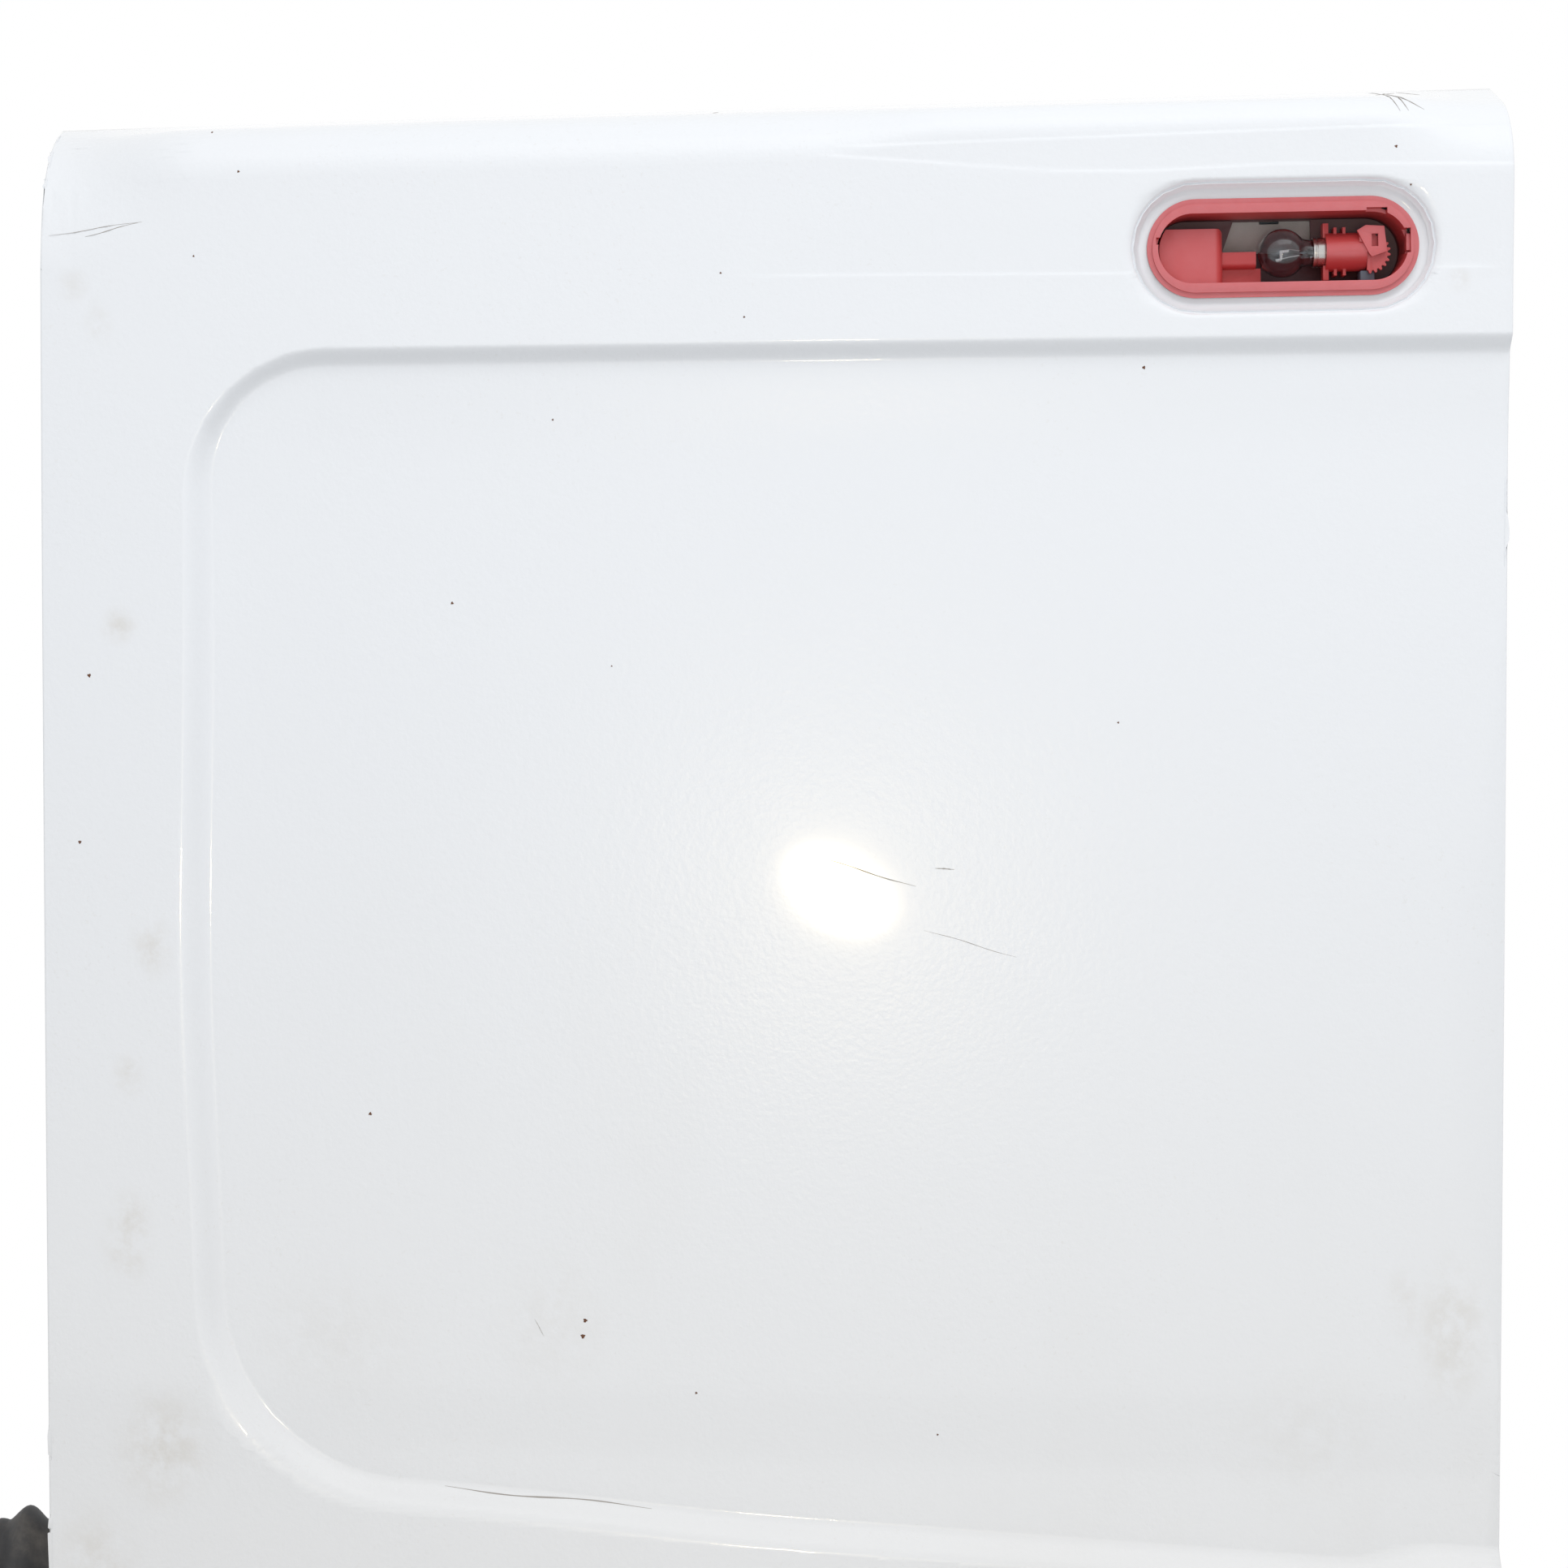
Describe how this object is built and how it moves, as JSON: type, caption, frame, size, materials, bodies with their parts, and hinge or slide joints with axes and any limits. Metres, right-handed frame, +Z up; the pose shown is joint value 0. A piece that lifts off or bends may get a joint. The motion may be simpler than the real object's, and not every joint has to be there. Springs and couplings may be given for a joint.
{
  "type": "van rear door",
  "caption": "White unglazed left rear door of a panel van, with sunk window field, open brake lamp and concealed hinges on which it swings.",
  "frame": {"origin": "middle of the lower hinge's mounting face on the body leaf", "axes": "+Z up along the door, +X from the hinge edge to the closing edge, +Y into the vehicle"},
  "size_m": [0.7833, 0.1132, 1.39],
  "materials": {
    "door_paint": "gloss white paint, faintly blue",
    "damping_mat": "matt bitumen mat",
    "black_rubber": "matt dark rubber",
    "lamp_red": "red moulded plastic, chalked on its rim",
    "bulb_glass": "clear glass",
    "bulb_metal": "nickel plated cap",
    "connector_grey": "blue grey plastic",
    "bracket_grey": "grey primer",
    "black_plastic": "grained black plastic",
    "lamp_lens": "clear lens",
    "zinc": "bright zinc plating",
    "latch_steel": "dark greased steel",
    "hinge_paint": "painted in body colour"
  },
  "bodies": {
    "root": {"upper_body_leaf": "hinge_paint", "lower_body_leaf": "hinge_paint", "upper_hinge_pin": "latch_steel", "lower_hinge_pin": "latch_steel"},
    "door": {"outer_skin": "door_paint", "inner_frame": "door_paint", "lower_inner_panel": "door_paint", "waist_rail": "door_paint", "skin_brace": "door_paint", "damping_pads": "damping_mat", "lamp_gasket": "black_rubber", "lamp_housing": "lamp_red", "bulb_holder": "lamp_red", "bulb_glass": "bulb_glass", "bulb_cap": "bulb_metal", "bulb_filament": "bulb_metal", "lamp_connector": "connector_grey", "lamp_bracket": "bracket_grey", "plate_plinth": "black_plastic", "plate_lamps": "lamp_lens", "outer_handle": "black_plastic", "lock_barrel": "zinc", "latch_case": "zinc", "latch_claw": "latch_steel", "latch_rods": "zinc", "top_bolt": "zinc", "bottom_bolt": "zinc", "release_bezel": "black_plastic", "release_lever": "black_plastic", "pull_handle": "black_plastic", "upper_door_leaf": "hinge_paint", "lower_door_leaf": "hinge_paint", "hinge_plates": "hinge_paint", "gaiter": "black_rubber", "gaiter_grommet": "black_rubber", "edge_buffers": "black_rubber", "hole_plugs": "black_rubber"}
  },
  "joints": [
    {"name": "door_swing", "type": "hinge", "parent": "root", "child": "door", "pos_m": [0.0045, -0.04, 0], "axis": [0, 0, -1], "range_deg": [0, 90]}
  ]
}
